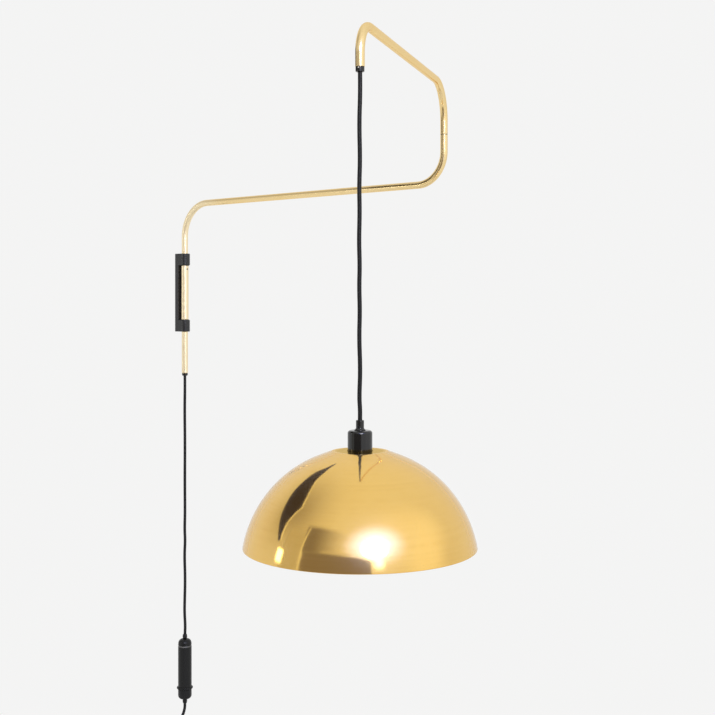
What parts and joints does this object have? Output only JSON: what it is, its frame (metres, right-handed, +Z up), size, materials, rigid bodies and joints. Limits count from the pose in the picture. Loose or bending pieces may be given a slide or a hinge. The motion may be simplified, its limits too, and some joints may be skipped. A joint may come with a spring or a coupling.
{
  "type": "swing arm wall lamp",
  "caption": "Wall lamp with a swivelling two-part tube arm on a C-shaped bracket, a dome pendant on a cord, and a mains lead with an in-line dimmer.",
  "frame": {"origin": "middle of the bracket's flat back, on the wall plane, midway between the two wall screws", "axes": "+Z up, +Y into the wall, -Y into the room, X along the wall; at rest the lower arm points along -Y"},
  "size_m": [0.7502, 1.1955, 1.6674],
  "materials": {
    "brass": "polished and lacquered",
    "black_metal": "black powder coat, low sheen",
    "black_plastic": "glossy black moulding",
    "dimmer_plastic": "matt black moulding",
    "nylon": "black nylon",
    "steel": "blackened steel",
    "grip_screw": "black nylon screw",
    "cord": "smooth black sheath",
    "tie": "black strap",
    "insert": "moulded insulator",
    "contact_brass": "plain brass",
    "nickel": "nickel plate",
    "opal_glass": "opal, unlit"
  },
  "bodies": {
    "bracket": {"wall_bracket": "black_metal", "upper_bush": "nylon", "lower_bush": "nylon", "wall_cord": "cord", "dimmer_top_grip": "dimmer_plastic", "dimmer_cap": "dimmer_plastic", "dimmer_barrel": "dimmer_plastic", "dimmer_end": "dimmer_plastic", "dimmer_bottom_grip": "dimmer_plastic", "lead": "cord", "lead_coil": "cord", "lead_tie": "tie", "lead_tail": "cord", "plug_body": "dimmer_plastic", "plug_pin_left": "nickel", "plug_pin_right": "nickel"},
    "lower_arm": {"lower_arm": "brass", "pivot_sleeve": "brass", "sleeve_screw": "steel", "wall_ferrule": "black_plastic", "elbow_pin": "steel", "elbow_washer": "nylon", "lower_flex": "cord"},
    "upper_arm": {"upper_arm": "brass", "exit_ferrule": "black_plastic", "exit_screw": "steel", "upper_flex": "cord"},
    "pendant": {"pendant_cord": "cord", "cord_grip": "black_plastic", "grip_screw": "grip_screw", "lampholder_cap": "black_plastic", "lampholder_skirt": "black_plastic", "lampholder_insert": "insert", "screw_shell": "contact_brass", "centre_contact": "contact_brass", "shade_ring": "black_plastic", "shade": "brass", "bulb_tip": "contact_brass", "bulb_insulator": "insert", "bulb_cap": "nickel", "bulb_glass": "opal_glass"},
    "dimmer_wheel": {"dimmer_wheel": "dimmer_plastic"}
  },
  "joints": [
    {"name": "arm_swing", "type": "hinge", "parent": "bracket", "child": "lower_arm", "pos_m": [0, -0.02295, 0], "axis": [0, 0, 1], "range_deg": [-90, 90]},
    {"name": "elbow_swing", "type": "hinge", "parent": "lower_arm", "child": "upper_arm", "pos_m": [0, -0.80845, 0.318], "axis": [0, 0, 1], "range_deg": [-91, 228]},
    {"name": "pendant_swing", "type": "hinge", "parent": "upper_arm", "child": "pendant", "pos_m": [-0.51974, -1.01151, 0.3385], "axis": [-0.3639, 0.9314, 0], "range_deg": [-15, 15]},
    {"name": "dimmer_turn", "type": "hinge", "parent": "bracket", "child": "dimmer_wheel", "pos_m": [0, -0.02295, -0.9832], "axis": [0, 0, 1], "range_deg": [-135, 135]}
  ]
}
